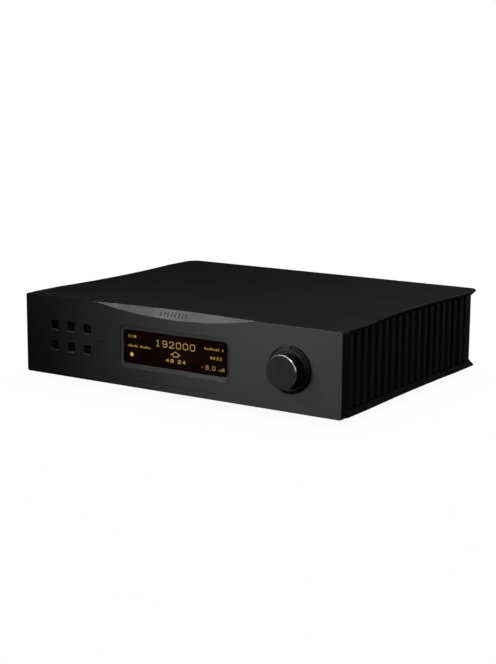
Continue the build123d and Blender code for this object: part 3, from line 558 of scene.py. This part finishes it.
# the pieces of each finish; the button caps are satin, and every other piece is moulded plastic
PIECES = {
    "case": "front_panel",
    "plate": "top_cover",
    "plate_low_shaded": "bottom_plate",
    "fins": "heatsink_left heatsink_right",
    "rear": "rear_panel",
    "feet": "feet",
    "knob": "knob_body",
    "skirt": "knob_skirt",
    "rocker": "power_rocker",
    "chip": "converter_chips",
    "sleeve": "audio_capacitors reservoir_capacitors",
    "red": "ir_lens",
    "cable": "front_ribbon_cable",
    "wire": "mains_wires",
    "rubber": "foot_pads",
    "board": "display_board button_board power_board main_board digital_board",
    "steel": "corner_blocks board_screws encoder_body transformer_discs transformer_bolts",
    "black_steel": "foot_screws case_bolts panel_screws connector_screws knob_set_screw",
    "nickel": "encoder_nut encoder_shaft iec_pins fuses xlr_shells usb_socket i2s_socket",
    "gold": "board_standoffs xlr_pins rca_jacks",
    "winding": "analogue_transformer digital_transformer",
    "glass": "display_window",
    "face": "display_module",
}
FINISH = {piece: finish for finish, pieces in PIECES.items() for piece in pieces.split()}
for name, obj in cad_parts.items():
    finish = "button" if name.startswith("button_cap") else FINISH.get(name, "plastic")
    obj.data.materials.clear()
    obj.data.materials.append(MATERIALS[finish])


# ------------------------------------------------------------------ display marks
# Outlines are lists of (x, z) on the front face, in mm.
MARK_Y = (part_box("display_module")[0].y - FRONT) / MM - 0.06
MARK_THICKNESS = 0.04


def flat_piece(name, loops, material):
    """Closed outlines as thin raised plates on the display's face."""
    bm = bmesh.new()
    for loop in loops:
        front = [bm.verts.new(at(x, MARK_Y, z)) for x, z in loop]
        rear = [bm.verts.new(at(x, MARK_Y + MARK_THICKNESS, z)) for x, z in loop]
        count = len(loop)
        twice_area = sum(loop[i - 1][0] * loop[i][1] - loop[i][0] * loop[i - 1][1]
                         for i in range(count))
        if twice_area < 0:
            front.reverse()
            rear.reverse()
        bm.faces.new(front)
        bm.faces.new(list(reversed(rear)))
        for i in range(count):
            after = (i + 1) % count
            bm.faces.new([front[i], rear[i], rear[after], front[after]])
    bmesh.ops.recalc_face_normals(bm, faces=bm.faces)
    obj = add_mesh(name, bm, material)
    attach(obj, "chassis")


def bar(left, bottom, right, top, radius, steps=3):
    """A rounded bar as an outline."""
    radius = min(radius, abs(right - left) / 2 - 1e-3, abs(top - bottom) / 2 - 1e-3)
    points = []
    for x, z, start in ((right - radius, top - radius, 0), (left + radius, top - radius, 90),
                        (left + radius, bottom + radius, 180),
                        (right - radius, bottom + radius, 270)):
        for i in range(steps + 1):
            angle = math.radians(start + 90.0 * i / steps)
            points.append((x + radius * math.cos(angle), z + radius * math.sin(angle)))
    return points


def bar_row(left, pitch, width, bottom, tops, skip=None):
    """Upright bars side by side, one for each top, leaving out the one numbered skip."""
    return [bar(left + pitch * i, bottom, left + pitch * i + width, top, radius=0.15)
            for i, top in enumerate(tops) if i != skip]


def disc(x, z, radius, count):
    angles = [2 * math.pi * i / count for i in range(count)]
    return [(x + radius * math.cos(angle), z + radius * math.sin(angle)) for angle in angles]


# numerals as strokes on a grid 4 wide and 6 high; each stroke is a line of (x, z) points
STROKES = {
    "0": [[(1, 0), (3, 0), (4, 1.2), (4, 4.8), (3, 6), (1, 6), (0, 4.8), (0, 1.2), (1, 0)]],
    "1": [[(0.8, 4.8), (2.1, 6), (2.1, 0)], [(0.9, 0), (3.3, 0)]],
    "2": [[(0, 4.8), (0.9, 6), (3, 6), (4, 5), (4, 3.9), (0, 0), (4, 0)]],
    "4": [[(3.1, 0), (3.1, 6), (0, 1.9), (4, 1.9)]],
    "8": [[(1, 3.2), (0.2, 4.1), (0.2, 5.2), (1, 6), (3, 6), (3.8, 5.2), (3.8, 4.1), (3, 3.2),
           (1, 3.2), (0, 2.2), (0, 1), (1, 0), (3, 0), (4, 1), (4, 2.2), (3, 3.2)]],
    "9": [[(0.3, 0.7), (1.1, 0), (2.8, 0), (4, 1.4), (4, 4.8), (3, 6), (1, 6), (0, 5), (0, 3.7),
           (1, 2.7), (2.8, 2.7), (4, 3.6)]],
    "-": [[(0.4, 2.8), (3.4, 2.8)]],
}
WIDE, NARROW, GAP = 4.0, 1.6, 1.5       # grid widths of a numeral, of a dot or space, and between


def stroke_loops(points, width):
    """Each leg of a stroke as its own small rounded bar."""
    loops = []
    half = width / 2
    for (x0, z0), (x1, z1) in zip(points, points[1:]):
        length = math.hypot(x1 - x0, z1 - z0)
        ux, uz = (x1 - x0) / length, (z1 - z0) / length
        level = bar(-half, -half, length + half, half, radius=half * 0.98, steps=2)
        loops.append([(x0 + x * ux - z * uz, z0 + x * uz + z * ux) for x, z in level])
    return loops


def numerals(text, left, right, bottom, height, stroke):
    """Loops for a row of numerals that fills left to right, drawn with a stroke that wide."""
    widths = [NARROW if char in ". " else WIDE for char in text]
    scale_x = (right - left) / (sum(widths) + GAP * (len(text) - 1))
    scale_z = (height - stroke) / 6.0
    inset = stroke / 2 / scale_x
    loops, pen = [], 0.0
    for char, width in zip(text, widths):
        if char == ".":
            loops.append(disc(left + (pen + NARROW / 2) * scale_x, bottom + stroke * 0.6,
                              radius=stroke * 0.62, count=16))
        elif char != " ":
            for line in STROKES[char]:
                points = [(left + (pen + inset + x * (width - 2 * inset) / 4.0) * scale_x,
                           bottom + stroke / 2 + z * scale_z) for x, z in line]
                loops += stroke_loops(points, stroke)
        pen += width + GAP
    return loops


def shifted(loops, far_left=0.0):
    """All marks move 1.4 to the left; far_left pulls those beyond x = -40 back to the right."""
    return [[(x - 1.4 + far_left * min(1.0, max(0.0, (-x - 40.0) / 10.0)), z) for x, z in loop]
            for loop in loops]


ARROW = [(-4.5, 31.8), (0.2, 34.6), (4.9, 31.8), (2.6, 31.8), (2.6, 30.2), (-2.2, 30.2),
         (-2.2, 31.8), (-4.5, 31.8)]
# middle: a large numeral row, a plain arrow, a smaller row
bright = [
    *numerals("192000", left=-20.5, right=20.0, bottom=37.1, height=5.8, stroke=0.68),
    *stroke_loops(ARROW, width=0.6),
    *numerals("48 24", left=-9.8, right=10.6, bottom=25.0, height=3.1, stroke=0.62),
]
dim = [
    # left: a short numeral row, a block, a row of bars
    *numerals("01", left=-49.8, right=-44.6, bottom=41.7, height=2.6, stroke=0.5),
    bar(-43.6, 41.9, -40.6, 44.1, radius=0.3),
    *bar_row(left=-50.2, pitch=1.96, width=1.25, bottom=33.8, skip=6,
             tops=[35.1 + (0.0, 0.9, 0.4)[i % 3] for i in range(13)]),
    # right: a row of bars, two blocks beside a numeral row, a value and rising bars
    *bar_row(left=29.6, pitch=2.15, width=1.3, bottom=40.1, skip=7,
             tops=[41.4 + (0.9, 0.2, 0.6)[i % 3] for i in range(9)]),
    *numerals("02", left=41.4, right=46.6, bottom=32.6, height=2.7, stroke=0.5),
    bar(35.2, 32.8, 37.2, 35.0, radius=0.3),
    bar(38.0, 32.8, 40.0, 35.0, radius=0.3),
    *numerals("-", left=26.0, right=28.4, bottom=23.7, height=3.4, stroke=0.45),
    *numerals("8.0", left=30.6, right=40.4, bottom=23.4, height=4.0, stroke=0.6),
    *bar_row(left=43.7, pitch=1.5, width=0.95, bottom=23.5,
             tops=[24.5 + 0.75 * i for i in range(4)]),
]
# a round lamp at the lower left
lamp = [disc(-45.4, 27.2, radius=1.75, count=28)]
flat_piece("display_marks_bright", shifted(bright), MATERIALS["amber"])
flat_piece("display_marks_dim", shifted(dim, far_left=0.8), MATERIALS["amber_dim"])
flat_piece("display_mark_lamp", shifted(lamp), MATERIALS["amber_hot"])


# ------------------------------------------------------------------ floor and world
def floor_material():
    """Pale floor: white to the camera with a soft contact shade, and quiet in reflections."""
    g = material_graph("floor_pale")
    contact = g.new("ShaderNodeAmbientOcclusion", {"Distance": 0.07}, samples=16).outputs["AO"]
    speck = g.spread(g.noise(g.coords(), scale=40.0, detail=3.0), 0.995, 1.0)
    shade = g.product(g.remap(contact, 0.0, 0.9, 0.955, 1.0), speck)
    seen = g.new("ShaderNodeEmission", {"Color": (1, 1, 1), "Strength": shade}).outputs[0]
    quiet = g.new("ShaderNodeBsdfDiffuse", {"Color": (0.06, 0.06, 0.06)}).outputs[0]
    to_camera = g.new("ShaderNodeLightPath").outputs["Is Camera Ray"]
    return g.surface(g.mix_shaders(to_camera, quiet, seen))


def build_floor():
    bm = bmesh.new()
    bmesh.ops.create_grid(bm, x_segments=8, y_segments=8, size=6.0)
    floor = add_mesh("floor", bm, floor_material())
    floor.location = (0, 0, cad_bounds[0][2] - 0.0002)      # just under the feet


def build_world():
    """White to the camera; a faint cool light to everything else."""
    world = bpy.data.worlds.new("studio")
    bpy.context.scene.world = world
    g = Graph(world, "ShaderNodeOutputWorld")
    faint, white = [
        g.new("ShaderNodeBackground", {"Color": color, "Strength": strength}).outputs[0]
        for color, strength in (((0.9, 0.95, 1.0), 0.0105), ((1, 1, 1), 1.0))]
    to_camera = g.new("ShaderNodeLightPath").outputs["Is Camera Ray"]
    g.surface(g.mix_shaders(to_camera, faint, white))


build_floor()
build_world()

# ------------------------------------------------------------------ lights
# square lights on a dome over the case: name, azimuth, elevation (degrees), side (m), power (W)
DOME_TARGET = Vector((0.0, -0.12, 0.05))
DOME_RADIUS = 1.4
DOME_LIGHTS = (
    ("overhead", -60, 78, 0.35, 3.1),
    ("key", -50, 32, 0.35, 0.6),
    ("back_soft", 180, 40, 0.35, 0.6),
    ("back_right", 150, 12, 0.35, 1.0),
    ("right_low", 62, 12, 0.35, 0.5),
    ("right_high", 40, 50, 0.35, 1.2),
    # an arch of weak lights for the knob's rim
    ("rim_1", -97, 26, 0.5, 0.12),
    ("rim_2", -70, 55, 0.5, 0.34),
    ("rim_3", 12, 64, 0.5, 0.45),
    ("rim_4", 50, 30, 0.5, 0.45),
)
# soft-edged spots: name, place, target (m), power (W), cone (degrees), source radius (m)
SPOTS = (
    ("upper_left", (-0.9, -1.0, 1.0), (0.08, -0.12, 0.04), 27.0, 16, 0.05),
    ("sheen_right", (-0.35, -1.5, 0.16), (0.10, -0.12, 0.03), 15.5, 16, 0.08),
    ("sheen_left", (-1.0, -1.3, 0.22), (0.05, -0.12, 0.03), 5.9, 11, 0.03),
    ("knob_shadow", (-0.85, -1.2, 0.45), (0.14, -0.12, 0.03), 1.7, 14, 0.03),
    ("sheen_far", (-0.7, -1.45, 0.2), (0.14, -0.12, 0.03), 10.6, 13, 0.03),
)
# long lights close to the floor, below the plates' upper faces, so that they only meet
# upright faces: name, azimuth (degrees), width (m), power (W)
STRIP_TARGET = Vector((0.0, 0.0, 0.006))
STRIP_DISTANCE = 1.5
STRIP_HEIGHT = 0.010
STRIPS = (("rear_strip", 193, 0.6, 40.0), ("left_strip", -110, 0.7, 30.0))


def add_light(name, kind, place, target, power, **settings):
    light = bpy.data.lights.new(name, kind)
    light.energy = power
    for key, value in settings.items():
        setattr(light, key, value)
    obj = add_object(name, light)
    obj.location = place
    obj.visible_camera = False
    obj.rotation_euler = (Vector(target) - obj.location).to_track_quat("-Z", "Y").to_euler()


def add_area(name, place, target, width, height, power):
    add_light(name, "AREA", place, target, power, shape="RECTANGLE", size=width, size_y=height,
              spread=math.pi)


for name, azimuth, elevation, side, power in DOME_LIGHTS:
    place = DOME_TARGET + bearing(azimuth, elevation) * DOME_RADIUS
    add_area(name, place, DOME_TARGET, side, side, power)
for name, place, target, power, cone, radius in SPOTS:
    add_light(name, "SPOT", place, target, power, spot_size=math.radians(cone), spot_blend=1.0,
              shadow_soft_size=radius)
for name, azimuth, width, power in STRIPS:
    place = STRIP_TARGET + bearing(azimuth) * STRIP_DISTANCE
    add_area(name, place, STRIP_TARGET, width, STRIP_HEIGHT, power)

# ------------------------------------------------------------------ camera
CAMERA_PLACE = at(678.8, -936.3, 276.1)
CAMERA_AZIMUTH, CAMERA_ELEVATION, CAMERA_ROLL = 32.881, 10.941, 0.413       # degrees
SENSOR_WIDTH, FOCAL_LENGTH = 36.0, 77.3056627                               # mm


def build_camera():
    camera = bpy.data.cameras.new("camera")
    camera.sensor_width = SENSOR_WIDTH
    camera.lens = FOCAL_LENGTH
    camera.clip_start = 0.05
    camera.clip_end = 60.0
    back = bearing(CAMERA_AZIMUTH, CAMERA_ELEVATION)
    level = (-back).cross(Vector((0, 0, 1))).normalized()
    upright = level.cross(-back)
    roll = math.radians(CAMERA_ROLL)
    right = math.cos(roll) * level + math.sin(roll) * upright
    up = -math.sin(roll) * level + math.cos(roll) * upright
    obj = add_object("camera", camera)
    obj.matrix_world = Matrix((*zip(right, up, back, CAMERA_PLACE), (0, 0, 0, 1)))
    bpy.context.scene.camera = obj


build_camera()

view = bpy.context.scene.view_settings
view.view_transform = "Standard"
view.look = "None"
view.exposure = 0.0
view.gamma = 1.0
